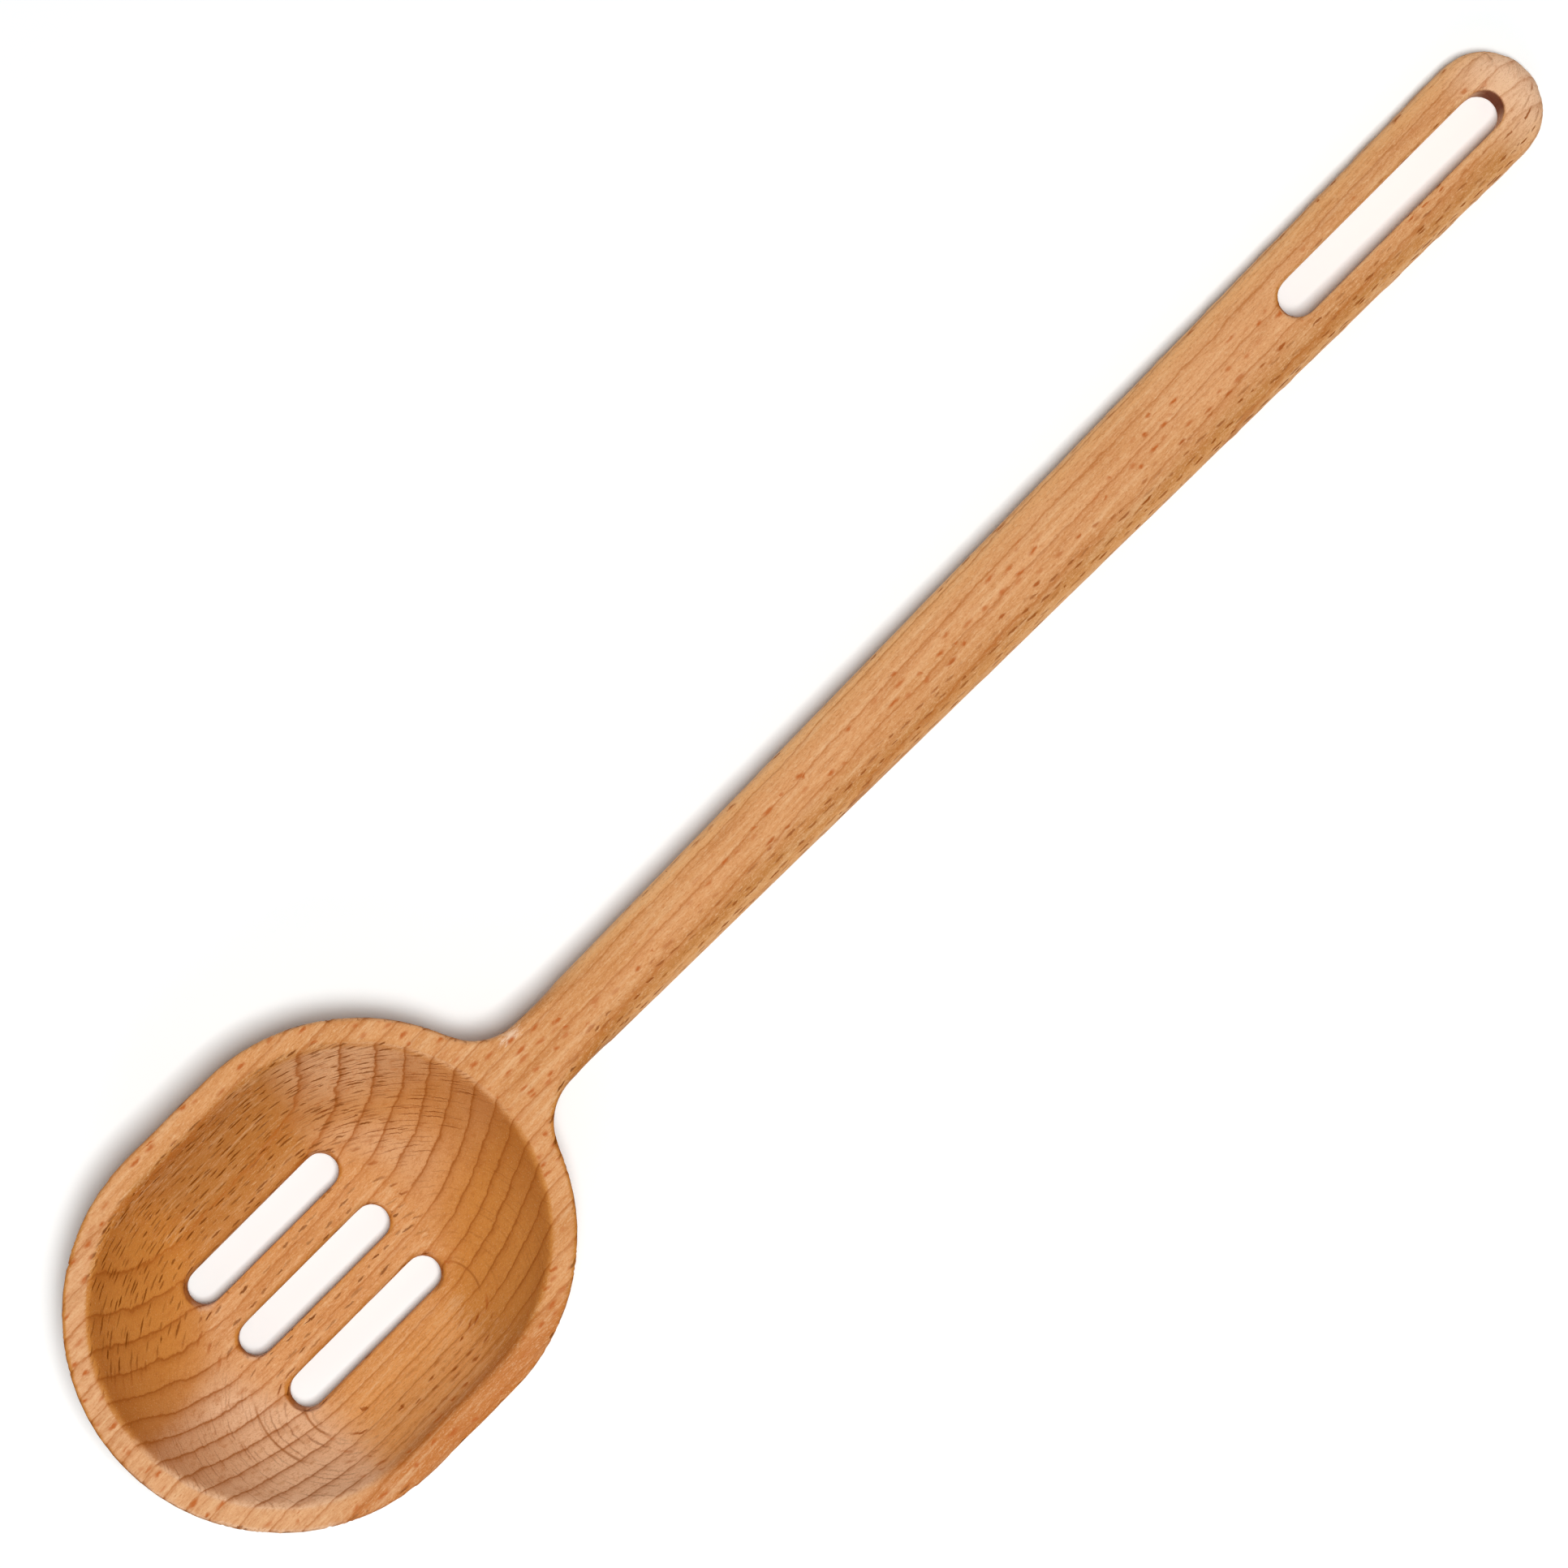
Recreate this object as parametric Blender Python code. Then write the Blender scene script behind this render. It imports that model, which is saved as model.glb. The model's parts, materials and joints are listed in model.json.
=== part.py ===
"""A wooden slotted spoon, carved from one length of beech.

The spoon is drawn in its own frame first: X runs from the tip of the bowl (0) to the end of the
handle, Y is its left side, and the flat top of the rim lies at Z = 0. A parent empty then lays it
down as it rests on a table, on the underside of the bowl and on the end of the handle.
"""

import math

import bmesh
import bpy

MM = 0.001

# Outline seen from above
OVERALL_LENGTH = 320.0 * MM
BOWL_WIDTH = 70.1 * MM
BOWL_STRAIGHT = 17.4 * MM  # straight run of each side between the two round ends
NECK_FILLET = 9.6 * MM  # radius of the hollow curve on each side of the neck
HANDLE_START_WIDTH = 12.7 * MM  # handle's width where the round end of the bowl would stop
HANDLE_END_WIDTH = 19.4 * MM

# Seen from the side
BOWL_HEIGHT = 20.0 * MM  # rim to underside
NECK_THICKNESS = 9.0 * MM
HANDLE_END_THICKNESS = 7.6 * MM
LAND_RADIUS = 12.0 * MM  # the flat under the bowl reaches this far out from its middle line
UNDERSIDE_POWER = 2.3  # how full the underside swells between that flat and the rim
NECK_BLEND_POWER = 4.0  # how tightly the neck's underside turns into the bowl

# Edges
RIM_EASE = 0.6 * MM
EDGE_POWER = 2.6  # 2 would be an ellipse, and more is squarer
SLOT_EASE = 0.4 * MM
ROUNDED_SHARE = 0.92  # share of the handle's half width that is rounded
CROWN_RUN = 24.0 * MM  # length over which the flat neck becomes the rounded handle

# Hollow of the bowl
RIM_WIDTH = 4.3 * MM
HOLLOW_DEPTH = 15.5 * MM
SIDE_SLOPE = 18.2 * MM  # how far each wall runs in before the floor is flat
TIP_SLOPE = 22.1 * MM
NECK_SLOPE = 26.3 * MM

# Slots
BOWL_SLOT_COUNT = 3
BOWL_SLOT_WIDTH = 6.0 * MM
BOWL_SLOT_LENGTH = 32.4 * MM
BOWL_SLOT_PITCH = 11.8 * MM
BOWL_SLOT_CENTRE = 41.5 * MM  # from the tip of the bowl
HANGING_SLOT_WIDTH = 6.7 * MM
HANGING_SLOT_LENGTH = 49.5 * MM
HANGING_SLOT_WALL = 7.1 * MM  # wood left past its far end

# Facets
ARC_STEPS = 16  # on a quarter of the bowl's outline
FILLET_STEPS = 7
CROWN_STEPS = 8
HANDLE_STEPS = 12
END_STEPS = 12
TOP_STEPS = 7  # from the middle line to the edge
UNDERSIDE_STEPS = 12
HOLLOW_ARC_STEPS = 36  # on each round end of the hollow
HOLLOW_WALL_STEPS = 12
SLOT_ARC_STEPS = 12
EASE_STEPS = 2  # on the rounded edges of the hollow and the slots
CUT_MARGIN = 5.0 * MM  # how far a cutter runs past the wood

BEECH_COLOUR = (0.665, 0.347, 0.147, 1.0)
BEECH_ROUGHNESS = 0.55

# Places that follow from the sizes
BOWL_RADIUS = BOWL_WIDTH / 2
TIP_CENTRE = BOWL_RADIUS
NECK_CENTRE = TIP_CENTRE + BOWL_STRAIGHT
BOWL_LENGTH = NECK_CENTRE + BOWL_RADIUS
END_RADIUS = HANDLE_END_WIDTH / 2
END_CENTRE = OVERALL_LENGTH - END_RADIUS


def handle_taper():
    """Angle of the handle's side, from its width at the bowl to its tangent on the round end."""
    run = END_CENTRE - BOWL_LENGTH
    start = HANDLE_START_WIDTH / 2
    return math.asin(END_RADIUS / math.hypot(run, start)) - math.atan2(start, run)


TAPER = handle_taper()


def handle_half_width(x):
    return HANDLE_START_WIDTH / 2 + (x - BOWL_LENGTH) * math.tan(TAPER)


def neck_fillet_centre():
    """Centre of the arc that touches both the bowl's round end and the handle's side."""
    reach = BOWL_RADIUS + NECK_FILLET
    along = (math.cos(TAPER), math.sin(TAPER))
    start_x = BOWL_LENGTH - NECK_CENTRE - NECK_FILLET * math.sin(TAPER)
    start_y = HANDLE_START_WIDTH / 2 + NECK_FILLET * math.cos(TAPER)
    half = start_x * along[0] + start_y * along[1]
    step = -half + math.sqrt(half * half - start_x**2 - start_y**2 + reach**2)
    return NECK_CENTRE + start_x + step * along[0], start_y + step * along[1]


FILLET_X, FILLET_Y = neck_fillet_centre()
FILLET_START = NECK_CENTRE + (FILLET_X - NECK_CENTRE) * BOWL_RADIUS / (BOWL_RADIUS + NECK_FILLET)
FILLET_END = FILLET_X + NECK_FILLET * math.sin(TAPER)
END_TANGENT = END_CENTRE - END_RADIUS * math.sin(TAPER)


def limited(value, low=0.0, high=1.0):
    return min(max(value, low), high)


def smooth_step(x, start, end):
    share = limited((x - start) / (end - start))
    return share * share * (3 - 2 * share)


def mixed(first, second, share):
    return first + (second - first) * share


def half_width(x):
    """Half of the outline's width at a distance from the tip."""
    if x < TIP_CENTRE:
        return math.sqrt(max(BOWL_RADIUS**2 - (TIP_CENTRE - x) ** 2, 0))
    if x < NECK_CENTRE:
        return BOWL_RADIUS
    if x < FILLET_START:
        return math.sqrt(BOWL_RADIUS**2 - (x - NECK_CENTRE) ** 2)
    if x < FILLET_END:
        return FILLET_Y - math.sqrt(NECK_FILLET**2 - (x - FILLET_X) ** 2)
    if x < END_TANGENT:
        return handle_half_width(x)
    return math.sqrt(max(END_RADIUS**2 - (x - END_CENTRE) ** 2, 0))


def distance_in(x, y):
    """Distance from the outline in to a point of the plan."""
    if x < NECK_CENTRE:
        return BOWL_RADIUS - math.hypot(max(TIP_CENTRE - x, 0), y)
    if x < FILLET_START:
        return BOWL_RADIUS - math.hypot(x - NECK_CENTRE, y)
    if x < FILLET_END:
        return math.hypot(x - FILLET_X, FILLET_Y - abs(y)) - NECK_FILLET
    if x < END_TANGENT:
        return (handle_half_width(x) - abs(y)) * math.cos(TAPER)
    return END_RADIUS - math.hypot(x - END_CENTRE, y)


def arch(share_out):
    """Height of a rounded edge: 1 where it starts to fall, 0 at the outline."""
    return (1 - limited(share_out) ** EDGE_POWER) ** (1 / EDGE_POWER)


def crown_share(x):
    """0 on the bowl's flat rim, 1 on the fully rounded handle."""
    return smooth_step(x, FILLET_START, FILLET_START + CROWN_RUN)


def thickness(x):
    share = limited((x - FILLET_END) / (END_CENTRE - FILLET_END))
    return mixed(NECK_THICKNESS, HANDLE_END_THICKNESS, share)


def edge_depth(x):
    """Depth of the widest line of the section: just under the rim, or halfway down the handle."""
    return mixed(RIM_EASE, thickness(x) / 2, crown_share(x))


def rounding_width(x):
    reach = handle_half_width(min(x, END_TANGENT))
    return mixed(RIM_EASE, ROUNDED_SHARE * reach, crown_share(x))


def top_height(x, y):
    share_out = 1 - distance_in(x, y) / rounding_width(x)
    return -edge_depth(x) * (1 - arch(share_out))


def handle_arch(x, y):
    """Cross section of the handle's underside. Inside the bowl it keeps the neck's own width."""
    if x < FILLET_END:
        reach = half_width(max(x, FILLET_START))
        return arch(1 - (reach - abs(y)) / (ROUNDED_SHARE * reach))
    return arch(1 - distance_in(x, y) / (ROUNDED_SHARE * handle_half_width(min(x, END_TANGENT))))


def bowl_swell(x, y):
    """Share of the bowl's height below a point: 1 on the flat under the bowl, 0 at the rim."""
    out = math.hypot(max(TIP_CENTRE - x, x - NECK_CENTRE, 0), y)
    share = limited((out - LAND_RADIUS) / (BOWL_RADIUS - LAND_RADIUS))
    return 1 - share**UNDERSIDE_POWER


def underside_height(x, y):
    """The swelling bowl and the flat handle, run into each other as a carved neck."""
    edge = edge_depth(x)
    bowl = (BOWL_HEIGHT - edge) * bowl_swell(x, y)
    handle = (thickness(x) - edge) * handle_arch(x, y) * smooth_step(x, NECK_CENTRE, FILLET_START)
    power = NECK_BLEND_POWER
    return -edge - (bowl**power + handle**power) ** (1 / power)


def section(x):
    """One closed cross section of the spoon: over the top from left to right, back underneath."""
    width = half_width(x)
    flat = width - min(rounding_width(x), ROUNDED_SHARE * width)
    top = [0.0]
    for step in range(TOP_STEPS):
        top.append(mixed(flat, width, math.sin(math.pi / 2 * step / TOP_STEPS)))
    under = [0.0]
    for step in range(1, UNDERSIDE_STEPS):
        under.append(width * math.sin(math.pi / 2 * step / UNDERSIDE_STEPS))
    points = [(x, width, -edge_depth(x))]
    points += [(x, y, top_height(x, y)) for y in reversed(top)]
    points += [(x, -y, top_height(x, y)) for y in top[1:]]
    points.append((x, -width, -edge_depth(x)))
    points += [(x, -y, underside_height(x, y)) for y in reversed(under)]
    points += [(x, y, underside_height(x, y)) for y in under[1:]]
    return points


def section_places():
    """Where the cross sections stand: close together on the arcs, far apart along the handle."""
    quarter = math.pi / 2
    places = [TIP_CENTRE - BOWL_RADIUS * math.cos(quarter * i / ARC_STEPS) for i in range(1, ARC_STEPS)]
    places += [mixed(TIP_CENTRE, NECK_CENTRE, i / 4) for i in range(4)]
    last = math.asin((FILLET_START - NECK_CENTRE) / BOWL_RADIUS)
    places += [NECK_CENTRE + BOWL_RADIUS * math.sin(last * i / ARC_STEPS) for i in range(ARC_STEPS)]
    places += [mixed(FILLET_START, FILLET_END, i / FILLET_STEPS) for i in range(FILLET_STEPS)]
    crowned = FILLET_START + CROWN_RUN
    places += [mixed(FILLET_END, crowned, i / CROWN_STEPS) for i in range(CROWN_STEPS)]
    places += [mixed(crowned, END_TANGENT, i / HANDLE_STEPS) for i in range(HANDLE_STEPS)]
    places.append(END_TANGENT)
    places += [END_CENTRE + END_RADIUS * math.sin(quarter * i / END_STEPS) for i in range(1, END_STEPS)]
    return places


def loft(name, rings, start_point=None, end_point=None):
    """A closed body through rings of as many points each, ending in a point or a flat cap."""
    bm = bmesh.new()
    loops = [[bm.verts.new(point) for point in ring] for ring in rings]
    count = len(rings[0])
    for near, far in zip(loops, loops[1:]):
        for i in range(count):
            j = (i + 1) % count
            bm.faces.new((near[i], near[j], far[j], far[i]))
    for loop, point in ((loops[0], start_point), (loops[-1], end_point)):
        if point is None:
            bm.faces.new(loop)
            continue
        pole = bm.verts.new(point)
        for i in range(count):
            bm.faces.new((loop[i], loop[(i + 1) % count], pole))
    bmesh.ops.recalc_face_normals(bm, faces=bm.faces)
    mesh = bpy.data.meshes.new(name)
    bm.to_mesh(mesh)
    bm.free()
    return bpy.data.objects.new(name, mesh)


def make_blank():
    """The outer form: bowl, neck and handle in one sweep of cross sections."""
    rings = [section(x) for x in section_places()]
    tip = (0, 0, -edge_depth(0))
    end = (OVERALL_LENGTH, 0, -edge_depth(OVERALL_LENGTH))
    return loft("spoon", rings, tip, end)


def hollow_ring(inset_share, outset, z):
    """One level of the hollow: two half ellipses joined by straight sides."""
    reach = BOWL_RADIUS - RIM_WIDTH + outset
    side = reach - SIDE_SLOPE * inset_share
    tip = reach - TIP_SLOPE * inset_share
    neck = reach - NECK_SLOPE * inset_share
    ring = []
    for i in range(HOLLOW_ARC_STEPS + 1):
        turn = math.pi * i / HOLLOW_ARC_STEPS
        ring.append((TIP_CENTRE - tip * math.sin(turn), side * math.cos(turn), z))
    for i in range(HOLLOW_ARC_STEPS + 1):
        turn = math.pi * i / HOLLOW_ARC_STEPS
        ring.append((NECK_CENTRE + neck * math.sin(turn), -side * math.cos(turn), z))
    return ring


def eased_edge(radius):
    """Steps down a rounded edge: how far out from the wall each one is, and how far down."""
    turns = [math.pi / 2 * i / EASE_STEPS for i in range(EASE_STEPS + 1)]
    return [(radius * (1 - math.sin(turn)), radius * (1 - math.cos(turn))) for turn in turns]


def make_hollow_cutter():
    """The hollow's walls fall in one long curve and are level where they reach the floor."""
    rings = [hollow_ring(0, RIM_EASE, CUT_MARGIN)]
    rings += [hollow_ring(0, out, -down) for out, down in eased_edge(RIM_EASE)[:-1]]
    first = 1 - math.sqrt(1 - RIM_EASE / HOLLOW_DEPTH)
    for step in range(HOLLOW_WALL_STEPS + 1):
        share = mixed(first, 1, step / HOLLOW_WALL_STEPS)
        rings.append(hollow_ring(share, 0, -HOLLOW_DEPTH * (1 - (1 - share) ** 2)))
    return loft("hollow_cutter", rings)


def slot_ring(centre_x, centre_y, length, width, z):
    """One level of a slot: two half circles joined by straight sides."""
    radius = width / 2
    ring = []
    for end in (1, -1):
        for i in range(SLOT_ARC_STEPS + 1):
            turn = math.pi * i / SLOT_ARC_STEPS
            x = centre_x + end * (length / 2 - radius + radius * math.sin(turn))
            ring.append((x, centre_y + end * radius * math.cos(turn), z))
    return ring


def make_slot_cutter(name, centre_x, centre_y, length, width, top, bottom):
    """A slot that opens a little at each face, as an edge broken with sandpaper does."""
    edge = eased_edge(SLOT_EASE)
    levels = [(SLOT_EASE, top + CUT_MARGIN)]
    levels += [(out, top - down) for out, down in edge]
    levels += [(out, bottom + down) for out, down in reversed(edge)]
    levels.append((SLOT_EASE, bottom - CUT_MARGIN))
    rings = [slot_ring(centre_x, centre_y, length + 2 * out, width + 2 * out, z) for out, z in levels]
    return loft(name, rings)


def make_cutters():
    cutters = [make_hollow_cutter()]
    for i in range(BOWL_SLOT_COUNT):
        side = (i - (BOWL_SLOT_COUNT - 1) / 2) * BOWL_SLOT_PITCH
        name = f"bowl_slot_cutter_{i + 1}"
        size = (BOWL_SLOT_LENGTH, BOWL_SLOT_WIDTH, -HOLLOW_DEPTH, -BOWL_HEIGHT)
        cutters.append(make_slot_cutter(name, BOWL_SLOT_CENTRE, side, *size))
    centre = OVERALL_LENGTH - HANGING_SLOT_WALL - HANGING_SLOT_LENGTH / 2
    size = (HANGING_SLOT_LENGTH, HANGING_SLOT_WIDTH, 0, -thickness(centre))
    cutters.append(make_slot_cutter("hanging_slot_cutter", centre, 0, *size))
    return cutters


def make_beech():
    material = bpy.data.materials.new("oiled_beech")
    material.use_nodes = True
    shader = material.node_tree.nodes["Principled BSDF"]
    shader.inputs["Base Color"].default_value = BEECH_COLOUR
    shader.inputs["Roughness"].default_value = BEECH_ROUGHNESS
    shader.inputs["Metallic"].default_value = 0.0
    material.diffuse_color = BEECH_COLOUR
    return material


def collection(name):
    made = bpy.data.collections.new(name)
    bpy.context.scene.collection.children.link(made)
    return made


def resting_tilt(points):
    """Turn about Y that brings the bowl's underside and the handle's end to one level."""
    bowl = [point for point in points if point.x < BOWL_LENGTH]
    handle = [point for point in points if point.x > BOWL_LENGTH]
    low, high = 0.0, math.radians(30)
    for _ in range(50):
        turn = (low + high) / 2
        lowest = [
            min(point.z * math.cos(turn) - point.x * math.sin(turn) for point in side)
            for side in (bowl, handle)
        ]
        if lowest[0] < lowest[1]:
            low = turn
        else:
            high = turn
    return (low + high) / 2


def lay_down(spoon, stand):
    """Tilts the stand and moves it so that the origin is below the middle of the resting spoon."""
    bpy.context.view_layer.update()
    evaluated = spoon.evaluated_get(bpy.context.evaluated_depsgraph_get())
    points = [vertex.co.copy() for vertex in evaluated.data.vertices]
    stand.rotation_euler.y = resting_tilt(points)
    turned = [stand.rotation_euler.to_matrix() @ point for point in points]
    sides = [[point[axis] for point in turned] for axis in range(3)]
    middle = [(min(side) + max(side)) / 2 for side in sides]
    stand.location = (-middle[0], -middle[1], -min(sides[2]))
    bpy.context.view_layer.update()


def main():
    for obj in list(bpy.data.objects):
        bpy.data.objects.remove(obj)
    parts = collection("slotted_spoon")
    cutter_parts = collection("cutters")
    stand = bpy.data.objects.new("resting_pose", None)
    parts.objects.link(stand)

    spoon = make_blank()
    spoon.data.materials.append(make_beech())
    parts.objects.link(spoon)
    spoon.parent = stand
    for cutter in make_cutters():
        cutter_parts.objects.link(cutter)
        cutter.parent = stand
        cutter.hide_render = True
        cutter.display_type = "WIRE"
        cut = spoon.modifiers.new(cutter.name.replace("_cutter", ""), "BOOLEAN")
        cut.operation = "DIFFERENCE"
        cut.solver = "EXACT"
        cut.object = cutter
    spoon.data.shade_smooth()
    spoon.data.set_sharp_from_angle(angle=math.radians(35))
    lay_down(spoon, stand)
    print(f"The spoon rests tilted by {math.degrees(stand.rotation_euler.y):.2f} degrees")


main()
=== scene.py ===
import json
import math

import bmesh
import bpy
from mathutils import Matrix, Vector


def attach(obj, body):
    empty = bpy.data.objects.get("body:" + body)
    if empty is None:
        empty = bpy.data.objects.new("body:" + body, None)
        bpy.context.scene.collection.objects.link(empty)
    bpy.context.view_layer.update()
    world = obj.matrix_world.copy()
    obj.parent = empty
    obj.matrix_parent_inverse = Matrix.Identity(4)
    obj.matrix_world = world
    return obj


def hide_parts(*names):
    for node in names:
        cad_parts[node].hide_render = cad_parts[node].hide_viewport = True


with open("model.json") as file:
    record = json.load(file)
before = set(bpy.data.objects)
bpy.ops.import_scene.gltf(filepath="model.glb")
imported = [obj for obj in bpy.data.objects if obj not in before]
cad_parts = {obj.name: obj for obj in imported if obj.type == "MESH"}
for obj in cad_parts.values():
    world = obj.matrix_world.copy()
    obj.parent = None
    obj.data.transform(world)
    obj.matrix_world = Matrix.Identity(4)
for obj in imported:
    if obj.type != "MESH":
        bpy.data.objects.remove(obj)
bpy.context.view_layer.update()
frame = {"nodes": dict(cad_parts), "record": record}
mm = 0.001

# The spoon rests tilted. Its tip and its rim plane follow from the mount on the rim
rimMount = next(mount for mount in frame["record"]["mounts"] if mount["name"] == "bowl_rim")
rimPoint, rimNormal = Vector(rimMount["pos_m"]), Vector(rimMount["axis"])
mountFromTip = 43.75 * mm  # halfway along the bowl's straight side
restTilt = math.atan2(rimNormal.x, rimNormal.z)
alongSpoon = Vector((math.cos(restTilt), 0, -math.sin(restTilt)))
tipPoint = Vector((rimPoint.x, 0, rimPoint.z)) - alongSpoon * mountFromTip


def linearColour(hexColour):
    channels = [int(hexColour[i:i + 2], 16) / 255 for i in (1, 3, 5)]
    return [c / 12.92 if c <= 0.04045 else ((c + 0.055) / 1.055) ** 2.4 for c in channels] + [1]


def addNode(tree, kind, inputs=None, **settings):
    node = tree.nodes.new("ShaderNode" + kind)
    for name, value in settings.items():
        setattr(node, name, value)
    for socket, value in (inputs or {}).items():
        if isinstance(value, bpy.types.Node):
            value = value.outputs[0]
        if isinstance(value, bpy.types.NodeSocket):
            tree.links.new(value, node.inputs[socket])
        else:
            node.inputs[socket].default_value = value
    return node


# The spoon: a fine even skin laid onto the solid, with its facets melted and its edges kept
spoonSurface = {
    "weld": 0.001 * mm,  # corners of the solid closer than this are one
    "skin": 0.56 * mm,  # edge length of its small faces
    "easeRounds": 2,
    "edgeAngle": 12.0,  # degrees; what turns more sharply is a real edge and stays
    "facetRounds": 12,
    "neck": (75 * mm, 103 * mm, 1.5 * mm),  # from the tip, and below the rim: folds are melted here too
    "neckRounds": 36,
    "roundShare": 0.5,  # how far one round of melting takes a corner to the middle of its neighbours
}


def laySkin(spoon, solid, surface):
    skin = spoon.modifiers.new("skin", "REMESH")
    skin.mode = "VOXEL"
    skin.voxel_size = surface["skin"]
    ease = spoon.modifiers.new("ease", "SMOOTH")
    ease.iterations = surface["easeRounds"]
    lay = spoon.modifiers.new("lay", "SHRINKWRAP")
    lay.target = solid
    fine = bpy.data.meshes.new_from_object(spoon.evaluated_get(bpy.context.evaluated_depsgraph_get()))
    spoon.modifiers.clear()
    spoon.data = fine
    return fine


def meltFacets(mesh, surface):
    bm = bmesh.new()
    bm.from_mesh(mesh)
    bm.normal_update()
    edgeAngle = math.radians(surface["edgeAngle"])
    onEdges = {v for edge in bm.edges if edge.calc_face_angle(0) > edgeAngle for v in edge.verts}
    gentle = [v for v in bm.verts if v not in onEdges]
    start, end, below = surface["neck"]
    atNeck = [v for v in bm.verts if start < (v.co - tipPoint).dot(alongSpoon) < end
              and (v.co - tipPoint).dot(rimNormal) < -below]
    for verts, rounds in ((gentle, surface["facetRounds"]), (atNeck, surface["neckRounds"])):
        for turn in range(rounds):
            bmesh.ops.smooth_vert(bm, verts=verts, factor=surface["roundShare"],
                                  use_axis_x=True, use_axis_y=True, use_axis_z=True)
    bm.to_mesh(mesh)
    bm.free()


def makeSpoon(surface):
    solid = frame["nodes"]["spoon"]
    welded = solid.data.copy()
    spoon = bpy.data.objects.new("wooden_spoon", welded)
    bpy.context.scene.collection.objects.link(spoon)
    bm = bmesh.new()
    bm.from_mesh(welded)
    bmesh.ops.remove_doubles(bm, verts=bm.verts, dist=surface["weld"])
    bm.to_mesh(welded)
    bm.free()
    fine = laySkin(spoon, solid, surface)
    bpy.data.meshes.remove(welded)
    meltFacets(fine, surface)
    fine.shade_smooth()
    print("spoon:", len(fine.polygons), "faces")
    return spoon


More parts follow.
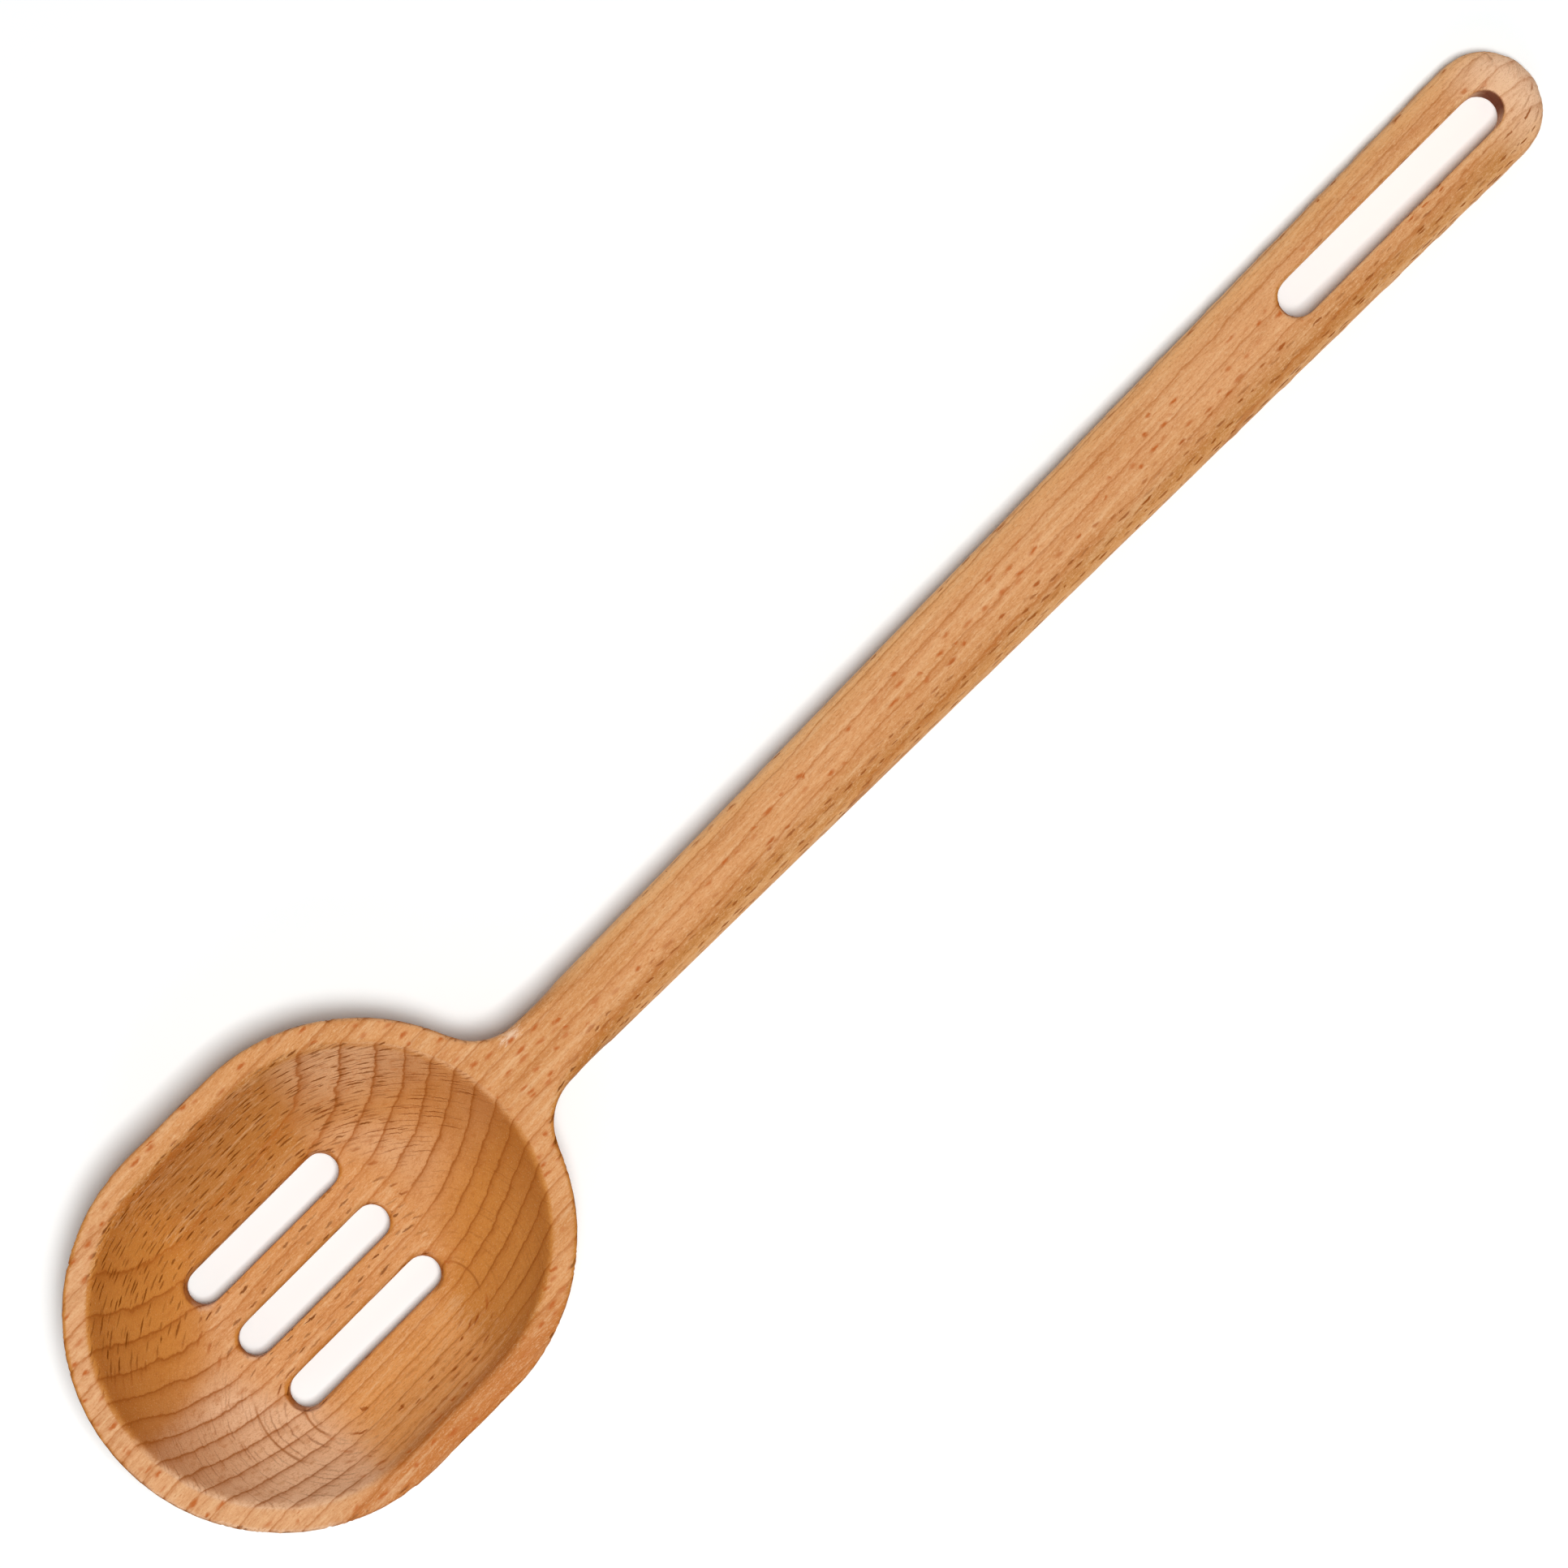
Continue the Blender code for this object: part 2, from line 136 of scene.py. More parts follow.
# Steamed beech, sawn, routed, sanded and oiled: a warm even ground with fine dark ring lines. Its rays
# show as short brown dashes where a face lies along the rings, as soft orange flecks on the rim and the
# handle's top, and as broken hair lines on the bowl's ends, where the cut crosses the fibres
beech = {
    "colours": {
        "ground": "#DB995E",
        "groundDeep": "#C5823F",
        "flatCutShade": "#AE6E26",  # where a face lies along the rings; this also paints shade on the bowl's left wall
        "squareCutLight": "#F2AA62",  # painted light on the bowl's right wall, which faces left and lies square to the rings
        "paleFuzzAndSheen": "#E9B88C",  # pale fibres lifted by the cut, and painted sheen on faces turned to the upper and lower panels
        "laidAndShaded": "#CE873C",  # fibres laid down by the cut, and painted shade on faces turned away from the upper and lower panels
        "sandedEndAndTipLight": "#FBD0AB",  # the handle's end, sanded across the grain; and painted light on the bowl's tip walls
        "handleEdgeLight": "#FFC080",  # painted light on the handle's rounded edges, more on its left
        "steepGround": "#B0682A",  # nearly square across the fibres
        "rimShade": "#A05408",  # painted shade just under the rim
        "endGrain": "#74301A",  # the hanging slot's end walls
        "sideGround": "#C3732F",  # the rim's redder right side
        "fibreDark": "#B4682A",
        "fibreLight": "#F0C595",
        "ringLine": "#B0601A",
        "ringDeep": "#8C4A14",  # the same lines where the cut crosses the fibres
        "rayDark": "#7C3F00",
        "rayLight": "#BC6222",
        "hairLine": "#844008",
        "toolMark": "#A25C22",
        "rubbed": "#FFE6CC",
    },
    "ringWidth": 3.59,  # mm
    "ringAngle": 28.4,  # degrees between the rings' flat and the spoon's height
    "ringDrift": 1.7,  # degrees by which the rings run off the spoon's length
    "ringStart": 0.17,  # share of a ring; sets where the lines fall
    "ringWaves": {"slow": 0.5, "wavy": 0.42, "ripple": 0.16},  # how far each noise shifts a line, in rings
    # How dark a ring is, from where it starts at 0 to where the next one starts at 1
    "ringTone": ((0.0, 0.6), (0.04, 0.15), (0.1, 0.0), (0.5, 0.05), (0.75, 0.2), (0.9, 0.45), (0.97, 1.0)),
    "noises": {
        # name: (waves per mm along the grain, and across it, detail, roughness)
        "slow": (0.012, 0.06, 2, 0.5),
        "wavy": (0.12, 0.3, 4, 0.65),
        "ripple": (0.5, 0.9, 3, 0.65),
        "stain": (0.03, 0.2, 3, 0.5),
        "streaks": (0.06, 1.1, 3, 0.6),
        "fibre": (0.9, 3.8, 3, 0.7),  # real fibres are 0.02 mm wide, too fine to show, so these are coarser
        "grit": (3.0, 4.5, 2, 0.8),
    },
    "frayedCut": 0.4,  # the endCut at which the fibres fray most
    "tipLightReach": 0.03,  # by how much further the painted light reaches on the bowl's tip
    "masks": {
        # name: (what drives it, where it starts and is full, its value before and after)
        # Driven by how the face cuts the wood, or leans, as a share
        "across": ("endCut", 0.18, 0.4, 0.0, 1.0),
        "openPores": ("endCut", 0.6, 0.95, 0.0, 1.0),
        "flatFace": ("flatCut", 0.5, 0.62, 0.0, 1.0),
        "faceOn": ("quarterCut", 0.93, 0.98, 0.0, 1.0),
        "frayed": ("offFrayed", 0.22, 0.04, 0.0, 1.0),
        "turnsToPanels": ("facingPanels", -0.04, 0.03, 0.0, 1.0),
        "shortOfPanels": ("facingPanels", 0.2, 0.08, 0.0, 1.0),
        "awayFromPanels": ("facingPanels", 0.15, 0.0, 0.0, 1.0),
        "leftMore": ("leftward", -0.3, 0.3, 0.8, 1.1),
        # Driven by the place, in mm
        "nearTip": ("fromTip", 33.0, 17.0, 0.0, 1.0),
        "onHandle": ("fromTip", 95.0, 110.0, 0.0, 1.0),
        "paleEnd": ("fromTip", 306.0, 316.0, 0.0, 1.0),
        "insideEnd": ("fromTip", 314.5, 313.5, 0.0, 1.0),
        "underRim": ("upward", -0.2, -0.55, 0.0, 1.0),
        "highUp": ("upward", -5.5, -1.2, 0.0, 1.0),
        "onWall": ("upward", -0.8, -3.5, 0.0, 1.0),
        "deep": ("upward", -1.5, -7.0, 0.0, 1.0),
        "onFloor": ("upward", -17.0, -16.0, 0.0, 1.0),
        "sheltered": ("toLeft", -18.0, -6.0, 0.4, 1.0),
        # How strongly lines and dashes show
        "ringShow": ("endCut", 0.0, 0.5, 0.68, 0.85),
        "ringCrisp": ("across", 0.0, 1.0, 1.6, 1.0),  # a power that thins the lines
        "ringPale": ("paleEnd", 0.0, 1.0, 1.0, 0.65),
        "rayMild": ("onHandle", 0.0, 1.0, 1.0, 0.7),
        "hairShow": ("facingPanels", -0.02, 0.07, 0.25, 1.0),
        "hairPale": ("paleEnd", 0.0, 1.0, 1.0, 0.45),
        "hairTip": ("nearTip", 0.0, 1.0, 1.0, 0.45),
    },
    "products": {
        # name: the masks that are multiplied for it
        "fuzzAndSheenBand": ("frayed", "turnsToPanels", "shortOfPanels"),
        "litTip": ("tipTowardPanels", "nearTip"),
        "slotEnds": ("insideEnd", "onHandle", "endCut"),
        "litHandleEdge": ("sideways", "onHandle", "leftMore"),
        "litRightWall": ("leftward", "onWall"),
        "flatWall": ("flatFace", "deep"),
        "shaded": ("deep", "sheltered", "clear", "clear"),
        "rimBand": ("underRim", "highUp", "awayFromPanels"),
    },
    # How much less the light fibres show where the cut crosses them, and on walls that lie along the rings
    "lightFades": {"streaks": (0.3, 0.03), "fibre": (0.15, 0.04), "grit": (0.03, 0.04)},
    "layers": (
        # what drives it, where it starts, where it is full, how much, its colour
        ("fromTip", 60.0, 250.0, 0.12, "sandedEndAndTipLight"),
        ("stain", 0.45, 0.75, 0.5, "groundDeep"),
        ("deep", 0.0, 1.0, 0.25, "groundDeep"),
        # Painted shade: faces that lie along the rings, chiefly the bowl's left wall, darker
        ("flatCut", 0.49, 0.82, 0.7, "flatCutShade"),
        # Painted light: the bowl's right wall, which faces left, lighter
        ("litRightWall", 0.25, 0.6, 0.85, "squareCutLight"),
        # Painted sheen, with pale lifted fibres, on faces turned to the upper and lower panels
        ("fuzzAndSheenBand", 0.0, 1.0, 0.5, "paleFuzzAndSheen"),
        ("facingPanels", 0.15, 0.28, 0.75, "paleFuzzAndSheen"),
        # Painted light on the bowl's steep tip walls
        ("litTip", 0.0, 0.08, 0.6, "sandedEndAndTipLight"),
        # Painted shade on faces turned away from the upper and lower panels
        ("facingPanels", 0.0, -0.1, 0.85, "laidAndShaded"),
        ("endCut", 0.55, 0.8, 0.55, "steepGround"),
        ("toLeft", -29.0, -31.5, 0.85, "sideGround"),
        ("rimShade", 0.0, 1.0, 0.35, "rimShade"),
        ("paleEnd", 0.0, 1.0, 0.85, "sandedEndAndTipLight"),
        # Painted light on the handle's rounded edges
        ("litHandleEdge", 0.3, 0.85, 0.85, "handleEdgeLight"),
        ("streaks", 0.52, 0.72, 0.45, "fibreDark"),
        ("lightStreaks", 0.48, 0.28, 0.45, "fibreLight"),
        ("fibre", 0.53, 0.72, 0.55, "fibreDark"),
        ("lightFibre", 0.47, 0.3, 0.5, "fibreLight"),
        ("grit", 0.55, 0.75, 0.4, "fibreDark"),
        ("lightGrit", 0.45, 0.25, 0.5, "fibreLight"),
        ("ringMask", 0.0, 1.0, 0.85, "ringLine"),
        ("ringAcross", 0.1, 1.0, 0.5, "ringDeep"),
        ("hairMask", 0.0, 1.0, 1.0, "hairLine"),
        ("toolMask", 0.0, 1.0, 0.8, "toolMark"),
        ("rubbed", 2.5, 1.6, 0.5, "rubbed"),
        ("slotEnds", 0.4, 0.85, 0.85, "endGrain"),
    ),
    # Rays: flecks on most faces, and dashes where they show dark
    "sway": 0.5,  # mm by which they sway to the side
    "rayApart": (3.7, 26.0, 1.15),  # mm along the grain, out through the rings, and round them
    "rayHeight": 2.6,  # mm along the grain
    "rayReach": (0.25, 0.65),  # shortest and longest half height, as shares of that
    "rayDepth": 1000.0,  # mm out through the rings, which is without end in a spoon
    "rayWidth": (0.85, 0.4),  # mm, of flecks and of dashes
    "rayThinnest": 0.3,  # least thickness of the plates, as a share of that width
    "rayRagged": (1.0, 0.4),  # how much the fibre breaks the outline of each
    "rayEdge": (1.5, 1.25),  # where the outline of each ends
    "rayCore": 0.8,  # within this both are full
    "fleckLuck": (0.2, 0.8, 0.95),  # luck from which flecks show, and are full, and how strong they get
    "dashLeast": 0.25,  # how strong the faintest dash is
    # Hair lines, in mm along the grain, out through the rings, and round them
    "hairApart": (3.0, 5.0, 0.55),
    "hairSize": (4.6, 8.0, 0.21),
    "hairRagged": 0.5,
    "hairEdge": (1.25, 0.65),  # where their outline ends, and within which they are full
    # Marks the cutter left in the bowl's floor: centre in mm from the tip and to the left, radius, side
    "toolMarks": ((30.9, -16.4, 5.8, -1), (31.1, -13.8, 12.2, -1), (54.2, -16.9, 6.3, 1)),
    "toolMarkWidth": 0.3,
    "toolMarkArc": (0.8, 0.93),  # how squarely a point lies on that side where a mark starts and is full
    # A spot rubbed pale at the neck's left edge: centre and half sizes in mm
    "rubbedSpot": ((92.2, 5.6), (2.4, 1.1)),
    "rubbedRagged": 3.0,
    "roughness": (0.44, 0.62),  # of closed wood, and of open fibres, which dull the oil
    "openRoughness": 0.95,  # of end grain, which drinks the oil
    "sheenRelief": (0.3, 1.2),  # relief at which the wood is dull, and at which it is shiny
    "specular": 0.12,
    "relief": 0.12 * mm,
    "reliefStrength": 0.6,
    "lineDepth": 0.12,  # how much lower rays and lines lie, as a share of the relief
}


def findPlace(tree, wood, at):
    # Millimetres from the tip, to the left and above the rim, and the same turned to lie along the grain,
    # out through the rings and round them
    place = addNode(tree, "TexCoord")
    spoonSpace = addNode(tree, "Mapping", {
        "Vector": place.outputs["Object"], "Location": tipPoint,
        "Rotation": (0, restTilt, 0), "Scale": (mm, mm, mm)}, vector_type="TEXTURE")
    at["fromTip"], at["toLeft"], at["upward"] = addNode(tree, "SeparateXYZ", {0: spoonSpace}).outputs
    grainTurn = (math.radians(wood["ringAngle"]), 0, -math.radians(wood["ringDrift"]))
    grain = addNode(tree, "Mapping", {"Vector": spoonSpace, "Rotation": grainTurn})
    at["outwards"] = addNode(tree, "SeparateXYZ", {0: grain}).outputs["Y"]
    for name, (along, across, detail, rough) in wood["noises"].items():
        stretch = addNode(tree, "VectorMath", {0: grain, 1: (along, across, across)}, operation="MULTIPLY")
        at[name] = addNode(tree, "TexNoise", {
            "Vector": stretch, "Scale": 1, "Detail": detail, "Roughness": rough})
    sway = addNode(tree, "VectorMath", {0: at["ripple"], 1: (0, 0, wood["sway"])}, operation="MULTIPLY")
    at["swayed"] = addNode(tree, "VectorMath", {0: grain, 1: sway}, operation="ADD")

    # How a face cuts the wood: across the fibres, along the rings, or square to them
    levelled = addNode(tree, "Mapping", {
        "Vector": place.outputs["Normal"], "Rotation": (0, restTilt, 0)}, vector_type="TEXTURE")
    turned = addNode(tree, "Mapping", {"Vector": levelled, "Rotation": grainTurn})
    facing = addNode(tree, "VectorMath", {0: turned}, operation="ABSOLUTE")
    at["endCut"], at["flatCut"], at["quarterCut"] = addNode(tree, "SeparateXYZ", {0: facing}).outputs
    forward, at["leftward"] = addNode(tree, "SeparateXYZ", {0: levelled}).outputs[:2]
    at["sideways"] = addNode(tree, "Math", {0: at["leftward"]}, operation="ABSOLUTE")
    # How far a face turns towards the upper and lower panels, or away to the sides; it places the painted
    # sheen and shade
    at["facingPanels"] = addNode(tree, "Math", {0: forward, 1: at["leftward"]}, operation="MULTIPLY")
    at["tipTowardPanels"] = addNode(tree, "Math", {0: at["facingPanels"], 1: wood["tipLightReach"]}, operation="ADD")
    offFrayed = addNode(tree, "Math", {0: at["endCut"], 1: wood["frayedCut"]}, operation="SUBTRACT")
    at["offFrayed"] = addNode(tree, "Math", {0: offFrayed}, operation="ABSOLUTE")


def findMasks(tree, wood, at):
    for name, (driver, start, full, before, after) in wood["masks"].items():
        at[name] = addNode(tree, "MapRange", {
            "Value": at[driver], "From Min": start, "From Max": full, "To Min": before, "To Max": after})
    at["clear"] = addNode(tree, "Math", {0: 1.0, 1: at["across"]}, operation="SUBTRACT")
    for name, factors in wood["products"].items():
        product = at[factors[0]]
        for factor in factors[1:]:
            product = addNode(tree, "Math", {0: product, 1: at[factor]}, operation="MULTIPLY")
        at[name] = product

    # Rays show dark along the rings and deep in the bowl, and a little milder on the handle
    at["dark"] = addNode(tree, "Math", {0: at["shaded"], 1: at["flatFace"]}, operation="MAXIMUM")
    at["rayTone"] = addNode(tree, "Math", {0: at["dark"], 1: at["rayMild"]}, operation="MULTIPLY")
    # The rim's shade belongs to the bowl alone
    at["rimShade"] = addNode(tree, "Math", {0: at["rimBand"], 1: at["onHandle"]}, operation="SUBTRACT")
    for name, (acrossFade, flatFade) in wood["lightFades"].items():
        faded = addNode(tree, "Math", {0: at["flatWall"], 1: flatFade, 2: at[name]},
                        operation="MULTIPLY_ADD")
        at["light" + name.capitalize()] = addNode(tree, "Math", {0: at["across"], 1: acrossFade, 2: faded},
                                                  operation="MULTIPLY_ADD")


def findRings(tree, wood, at):
    # Growth rings, wavy in the large and in the small
    ring = addNode(tree, "Math", {0: at["outwards"], 1: 1 / wood["ringWidth"], 2: wood["ringStart"]},
                   operation="MULTIPLY_ADD")
    for name, shift in wood["ringWaves"].items():
        ring = addNode(tree, "Math", {0: at[name], 1: shift, 2: ring}, operation="MULTIPLY_ADD")
    phase = addNode(tree, "Math", {0: ring}, operation="FRACT")
    late = addNode(tree, "ValToRGB", {"Fac": phase})
    for stop, level in wood["ringTone"]:
        late.color_ramp.elements.new(stop).color = (level, level, level, 1)
    late.color_ramp.elements.remove(late.color_ramp.elements[0])
    late.color_ramp.elements.remove(late.color_ramp.elements[-1])
    mask = addNode(tree, "Math", {0: late.outputs["Color"], 1: at["ringCrisp"]}, operation="POWER")
    for share in ("ringShow", "ringPale"):
        mask = addNode(tree, "Math", {0: mask, 1: at[share]}, operation="MULTIPLY")
    at["ringMask"] = mask
    inBowl = addNode(tree, "Math", {0: mask, 1: at["across"]}, operation="MULTIPLY")
    at["ringAcross"] = addNode(tree, "Math", {0: inBowl, 1: at["onHandle"]}, operation="SUBTRACT")


def offNearest(tree, place, apart):
    # One point to a cell of the wood: how far off the nearest one is in mm, and its luck
    cell = addNode(tree, "VectorMath", {0: place, 1: [1 / step for step in apart]}, operation="MULTIPLY")
    nearest = addNode(tree, "TexVoronoi", {"Vector": cell, "Scale": 1, "Randomness": 1})
    off = addNode(tree, "VectorMath", {0: cell, 1: nearest.outputs["Position"]}, operation="SUBTRACT")
    off = addNode(tree, "VectorMath", {0: off, 1: apart}, operation="MULTIPLY")
    return off, addNode(tree, "SeparateColor", {0: nearest.outputs["Color"]}).outputs


def findRays(tree, wood, at):
    # Rays: upright plates in the wood. Their width on a face is kept, however it cuts them
    dark = at["dark"]
    lean = addNode(tree, "Math", {0: at["quarterCut"], 1: at["quarterCut"]}, operation="MULTIPLY")
    lean = addNode(tree, "Math", {0: 1.0, 1: lean}, operation="SUBTRACT")
    lean = addNode(tree, "Math", {0: lean}, operation="SQRT")
    lean = addNode(tree, "Math", {0: lean, 1: wood["rayThinnest"]}, operation="MAXIMUM")
    off, luck = offNearest(tree, at["swayed"], wood["rayApart"])
    fleckWidth, dashWidth = wood["rayWidth"]
    width = addNode(tree, "Mix", {"Factor": dark, 2: fleckWidth / 2, 3: dashWidth / 2})
    width = addNode(tree, "Math", {0: width, 1: lean}, operation="MULTIPLY")
    shortest, longest = wood["rayReach"]
    height = addNode(tree, "MapRange", {
        "Value": luck[1], "To Min": shortest * wood["rayHeight"], "To Max": longest * wood["rayHeight"]})
    size = addNode(tree, "CombineXYZ", {0: height, 1: wood["rayDepth"], 2: width})
    off = addNode(tree, "VectorMath", {0: off, 1: size}, operation="DIVIDE")
    off = addNode(tree, "VectorMath", {0: off}, operation="LENGTH").outputs["Value"]
    ragged = addNode(tree, "Mix", {"Factor": dark, 2: wood["rayRagged"][0], 3: wood["rayRagged"][1]})
    off = addNode(tree, "Math", {0: at["fibre"], 1: ragged, 2: off}, operation="MULTIPLY_ADD")
    edge = addNode(tree, "Mix", {"Factor": dark, 2: wood["rayEdge"][0], 3: wood["rayEdge"][1]})
    mask = addNode(tree, "MapRange", {"Value": off, "From Min": edge, "From Max": wood["rayCore"]})

    # Flecks are rare, and missing where the cut crosses the fibres or, on the handle, lies along the rays
    start, full, most = wood["fleckLuck"]
    rare = addNode(tree, "MapRange", {"Value": luck[0], "From Min": start, "From Max": full, "To Max": most})
    rare = addNode(tree, "Math", {0: rare, 1: at["clear"]}, operation="MULTIPLY")
    faceOn = addNode(tree, "Math", {0: at["faceOn"], 1: at["onHandle"]}, operation="MULTIPLY")
    rare = addNode(tree, "Math", {0: rare, 1: faceOn}, operation="SUBTRACT", use_clamp=True)
    common = addNode(tree, "MapRange", {"Value": luck[0], "To Min": wood["dashLeast"], "To Max": 1.0})
    show = addNode(tree, "Mix", {"Factor": dark, 2: rare, 3: common})
    at["rayMask"] = addNode(tree, "Math", {0: mask, 1: show}, operation="MULTIPLY")


def findHairLines(tree, wood, at):
    # Hair lines: the fine rays that end grain shows, strongest on faces turned towards the upper and lower
    # panels
    off, luck = offNearest(tree, at["swayed"], wood["hairApart"])
    halfSize = [size / 2 for size in wood["hairSize"]]
    off = addNode(tree, "VectorMath", {0: off, 1: halfSize}, operation="DIVIDE")
    off = addNode(tree, "VectorMath", {0: off}, operation="LENGTH").outputs["Value"]
    off = addNode(tree, "Math", {0: at["fibre"], 1: wood["hairRagged"], 2: off}, operation="MULTIPLY_ADD")
    edge, core = wood["hairEdge"]
    mask = addNode(tree, "MapRange", {"Value": off, "From Min": edge, "From Max": core})
    mask = addNode(tree, "Math", {0: mask, 1: luck[0]}, operation="MULTIPLY")
    for share in ("across", "hairShow", "hairPale", "hairTip"):
        mask = addNode(tree, "Math", {0: mask, 1: at[share]}, operation="MULTIPLY")
    at["hairMask"] = mask


def findMarks(tree, wood, at):
    # Arcs that the cutter left in the floor
    marks = 0.0
    start, full = wood["toolMarkArc"]
    for x, y, radius, side in wood["toolMarks"]:
        off = addNode(tree, "CombineXYZ", {0: at["fromTip"], 1: at["toLeft"]})
        off = addNode(tree, "VectorMath", {0: off, 1: (x, y, 0)}, operation="SUBTRACT")
        towards = addNode(tree, "VectorMath", {0: off}, operation="NORMALIZE")
        towards = addNode(tree, "SeparateXYZ", {0: towards}).outputs["X"]
        within = addNode(tree, "MapRange", {
            "Value": towards, "From Min": start * side, "From Max": full * side})
        off = addNode(tree, "VectorMath", {0: off}, operation="LENGTH").outputs["Value"]
        off = addNode(tree, "Math", {0: off, 1: radius}, operation="SUBTRACT")
        off = addNode(tree, "Math", {0: off}, operation="ABSOLUTE")
        mark = addNode(tree, "MapRange", {"Value": off, "From Min": wood["toolMarkWidth"], "From Max": 0.0})
        mark = addNode(tree, "Math", {0: mark, 1: within}, operation="MULTIPLY")
        marks = addNode(tree, "Math", {0: mark, 1: marks}, operation="MAXIMUM")
    at["toolMask"] = addNode(tree, "Math", {0: at["onFloor"], 1: marks}, operation="MULTIPLY")

    # The rubbed spot, with an outline that the fibre breaks
    (x, y), (halfLength, halfWidth) = wood["rubbedSpot"]
    off = addNode(tree, "CombineXYZ", {0: at["fromTip"], 1: at["toLeft"]})
    off = addNode(tree, "VectorMath", {0: off, 1: (x, y, 0)}, operation="SUBTRACT")
    off = addNode(tree, "VectorMath", {0: off, 1: (halfLength, halfWidth, 1)}, operation="DIVIDE")
    off = addNode(tree, "VectorMath", {0: off}, operation="LENGTH").outputs["Value"]
    at["rubbed"] = addNode(tree, "Math", {0: at["fibre"], 1: wood["rubbedRagged"], 2: off},
                           operation="MULTIPLY_ADD")


def layColours(tree, wood, at):
    # Colour, layer on layer, with the rays on top
    colours = {name: linearColour(hexColour) for name, hexColour in wood["colours"].items()}
    colour = colours["ground"]
    for driver, start, full, share, tint in wood["layers"]:
        mask = addNode(tree, "MapRange", {
            "Value": at[driver], "From Min": start, "From Max": full, "To Max": share})
        colour = addNode(tree, "Mix", {
            "Factor": mask, 6: colour, 7: colours[tint]}, data_type="RGBA").outputs[2]
    rayColour = addNode(tree, "Mix", {
        "Factor": at["rayTone"], 6: colours["rayLight"], 7: colours["rayDark"]}, data_type="RGBA").outputs[2]
    return addNode(tree, "Mix", {
        "Factor": at["rayMask"], 6: colour, 7: rayColour}, data_type="RGBA").outputs[2]


def makeBeech(wood):
    material = bpy.data.materials.new("oiledBeech")
    material.use_nodes = True
    tree = material.node_tree
    shader = tree.nodes["Principled BSDF"]
    at = {}  # what is known of a point of the wood: its place, how its face is cut, and each mask
    for find in (findPlace, findMasks, findRings, findRays, findHairLines, findMarks):
        find(tree, wood, at)
    tree.links.new(layColours(tree, wood, at), shader.inputs["Base Color"])

    # Relief and sheen: open fibres dull the oil, and rays and ring lines lie a little lower
    lowered = addNode(tree, "Math", {0: at["rayMask"], 1: at["ringMask"]}, operation="ADD")
    lowered = addNode(tree, "Math", {0: lowered, 1: at["hairMask"]}, operation="ADD")
    raised = addNode(tree, "Math", {0: at["fibre"], 1: at["grit"]}, operation="ADD")
    relief = addNode(tree, "Math", {0: lowered, 1: -wood["lineDepth"], 2: raised}, operation="MULTIPLY_ADD")
    bump = addNode(tree, "Bump", {
        "Height": relief, "Strength": wood["reliefStrength"], "Distance": wood["relief"]})
    tree.links.new(bump.outputs[0], shader.inputs["Normal"])
    shiny, dull = wood["roughness"]
    low, high = wood["sheenRelief"]
    sheen = addNode(tree, "MapRange", {
        "Value": relief, "From Min": low, "From Max": high, "To Min": dull, "To Max": shiny})
    sheen = addNode(tree, "Mix", {"Factor": at["openPores"], 2: sheen, 3: wood["openRoughness"]})
    tree.links.new(sheen.outputs[0], shader.inputs["Roughness"])
    shader.inputs["Specular IOR Level"].default_value = wood["specular"]
    print("beech:", len(tree.nodes), "nodes")
    return material


# White table, and light from soft panels
table = {
    "side": 6.0,  # m
    "drop": 0.2 * mm,  # below the spoon's lowest point, so that the two never meet
    "bounce": (0.8, 0.8, 0.8, 1),  # its white as it lights the spoon
    "seen": (1.05, 1.08, 1.08, 1),  # and as the camera sees it
}
panels = {
    # name: (place in m, size in m, power in W)
    "overheadPanel": ((-0.02, -0.19, 1.5), 0.36, 17.5),
    "upperPanel": ((0.9, 0.9, 0.75), 0.8, 1.0),
    "lowerPanel": ((-0.9, -0.9, 0.75), 0.8, 3.0),
    "leftPanel": ((-0.8, 0.8, 1.0), 0.8, 1.0),
}
# The world's strength as it lights the spoon, and as the camera and shiny faces see it
sky = {"strength": 0.17, "seen": 1.0}


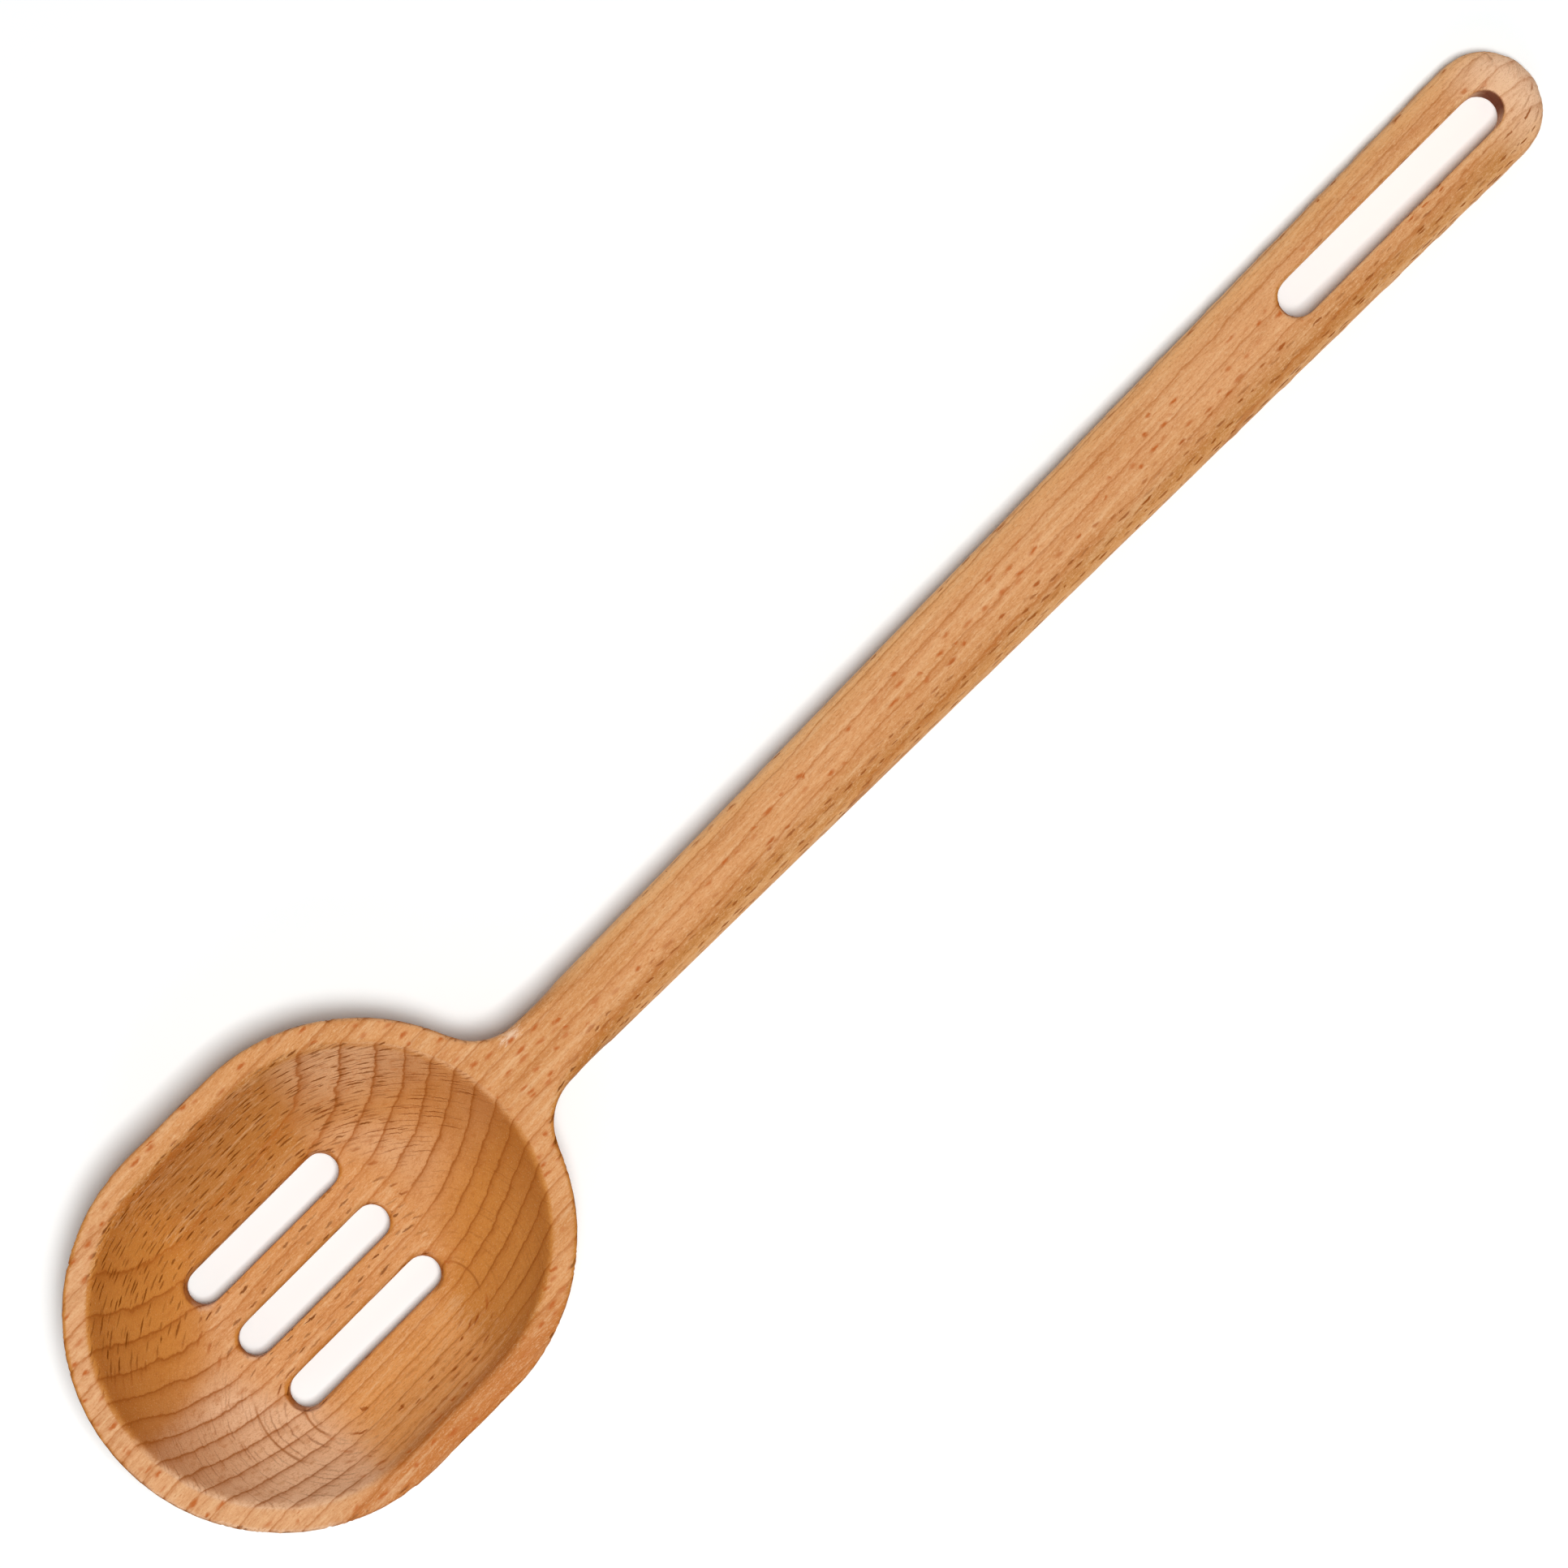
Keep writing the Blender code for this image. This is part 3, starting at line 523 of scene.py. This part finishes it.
def makeTable(sizes):
    mesh = bpy.data.meshes.new("table")
    bm = bmesh.new()
    bmesh.ops.create_grid(bm, x_segments=1, y_segments=1, size=sizes["side"] / 2)
    bmesh.ops.translate(bm, verts=bm.verts, vec=(0, 0, -sizes["drop"]))
    bm.to_mesh(mesh)
    bm.free()
    tableTop = bpy.data.objects.new("table", mesh)
    bpy.context.scene.collection.objects.link(tableTop)
    material = bpy.data.materials.new("whiteTable")
    material.use_nodes = True
    tree = material.node_tree
    tree.nodes.clear()
    seen = addNode(tree, "LightPath")
    white = addNode(tree, "Mix", {
        0: seen.outputs["Is Camera Ray"], 6: sizes["bounce"], 7: sizes["seen"]}, data_type="RGBA")
    matte = addNode(tree, "BsdfDiffuse", {"Color": white.outputs[2]})
    addNode(tree, "OutputMaterial", {"Surface": matte})
    mesh.materials.append(material)
    print("table:", sizes["side"], "m wide")


def makeLight(lamps, world):
    for name, (spot, size, power) in lamps.items():
        lamp = bpy.data.lights.new(name, "AREA")
        lamp.size = size
        lamp.energy = power
        panel = bpy.data.objects.new(name, lamp)
        panel.location = spot
        panel.rotation_euler = (-Vector(spot)).to_track_quat("-Z", "Y").to_euler()
        bpy.context.scene.collection.objects.link(panel)
    studio = bpy.data.worlds.new("studio")
    studio.use_nodes = True
    tree = studio.node_tree
    tree.nodes.clear()
    seen = addNode(tree, "LightPath")
    white = addNode(tree, "Math", {0: seen.outputs["Is Camera Ray"], 1: seen.outputs["Is Glossy Ray"]},
                    operation="MAXIMUM")
    strength = addNode(tree, "Mix", {"Factor": white, 2: world["strength"], 3: world["seen"]})
    background = addNode(tree, "Background", {"Strength": strength})
    addNode(tree, "OutputWorld", {"Surface": background})
    bpy.context.scene.world = studio
    print("light:", len(lamps), "panels")


# The camera looks straight down on the spoon, which runs from corner to corner: m, degrees, and mm
view = {"spot": (-7.96 * mm, 3.05 * mm, 1.0), "turn": -45.0, "lens": 140.5, "sensor": 36.0}


def makeCamera(sight):
    data = bpy.data.cameras.new("camera")
    data.lens = sight["lens"]
    data.sensor_width = sight["sensor"]
    camera = bpy.data.objects.new("camera", data)
    camera.location = sight["spot"]
    camera.rotation_euler.z = math.radians(sight["turn"])
    bpy.context.scene.collection.objects.link(camera)
    bpy.context.scene.camera = camera
    bpy.context.scene.view_settings.view_transform = "Standard"
    print("camera:", sight["lens"], "mm lens")


makeTable(table)
makeLight(panels, sky)
makeCamera(view)
spoon = makeSpoon(spoonSurface)
spoon.data.materials.clear()
spoon.data.materials.append(makeBeech(beech))
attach(spoon, "root")
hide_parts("spoon")
